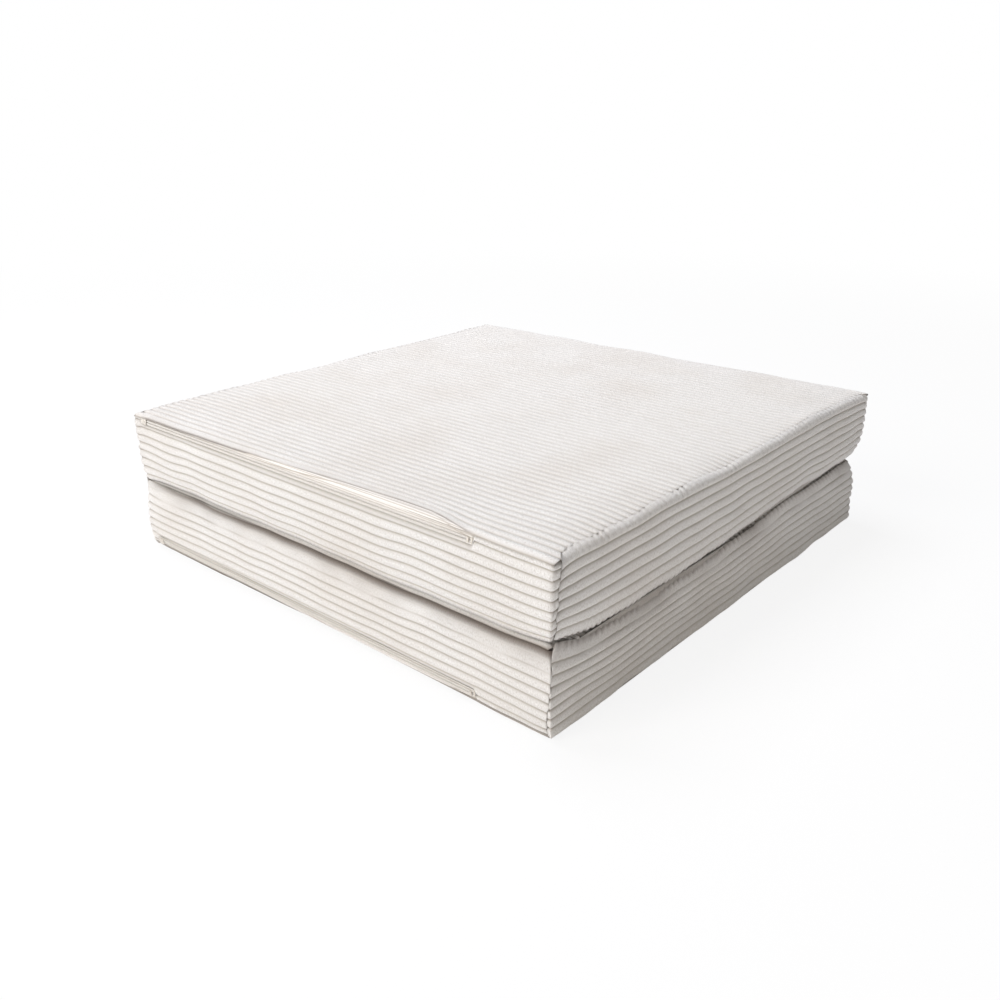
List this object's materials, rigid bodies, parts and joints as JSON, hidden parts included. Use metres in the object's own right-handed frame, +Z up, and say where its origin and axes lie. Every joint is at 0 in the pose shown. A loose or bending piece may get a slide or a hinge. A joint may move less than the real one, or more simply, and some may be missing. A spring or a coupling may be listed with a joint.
{
  "type": "play sofa mattress",
  "caption": "Folding foam play mattress: two square halves in zipped wide-wale corduroy covers, joined by a fabric hinge and lying folded.",
  "frame": {"origin": "centre of the face that the folded mattress stands on", "axes": "+Z up, -Y towards the front with the two zips, +X towards the side where the fold opens, -X towards the hinge"},
  "size_m": [0.75, 0.75, 0.2073],
  "materials": {
    "corduroy": "matte",
    "foam": "matte",
    "zip_tape": "matte",
    "zip_coil": "satin",
    "zip_metal": "satin",
    "thread": "matte"
  },
  "bodies": {
    "lower_half": {"lower_foam_core": "foam", "lower_outer_panel": "corduroy", "lower_inner_panel": "corduroy", "lower_front_boxing": "corduroy", "lower_open_side_boxing": "corduroy", "lower_back_boxing": "corduroy", "lower_hinge_side_boxing": "corduroy", "lower_zip_outer_tape": "zip_tape", "lower_zip_inner_tape": "zip_tape", "lower_zip_outer_coil": "zip_coil", "lower_zip_inner_coil": "zip_coil", "lower_zip_closed_stop": "zip_metal", "lower_zip_open_stop": "zip_metal", "lower_zip_bar_tack": "thread", "fold_hinge_strip": "corduroy"},
    "upper_half": {"upper_foam_core": "foam", "upper_outer_panel": "corduroy", "upper_inner_panel": "corduroy", "upper_front_boxing": "corduroy", "upper_open_side_boxing": "corduroy", "upper_back_boxing": "corduroy", "upper_hinge_side_boxing": "corduroy", "upper_zip_outer_tape": "zip_tape", "upper_zip_inner_tape": "zip_tape", "upper_zip_outer_coil": "zip_coil", "upper_zip_inner_coil": "zip_coil", "upper_zip_closed_stop": "zip_metal", "upper_zip_open_stop": "zip_metal", "upper_zip_bar_tack": "thread"},
    "lower_slider": {"lower_zip_slider": "zip_metal"},
    "upper_slider": {"upper_zip_slider": "zip_metal"}
  },
  "joints": [
    {"name": "fold", "type": "hinge", "parent": "lower_half", "child": "upper_half", "pos_m": [-0.376, 0, 0.10365], "axis": [0, -1, 0], "range_deg": [0, 180], "deforming": ["fold_hinge_strip"]},
    {"name": "lower_zip_slide", "type": "slide", "parent": "lower_half", "child": "lower_slider", "axis": [1, 0, 0], "range_m": [0, 0.6029]},
    {"name": "upper_zip_slide", "type": "slide", "parent": "upper_half", "child": "upper_slider", "axis": [1, 0, 0], "range_m": [0, 0.6029]}
  ]
}
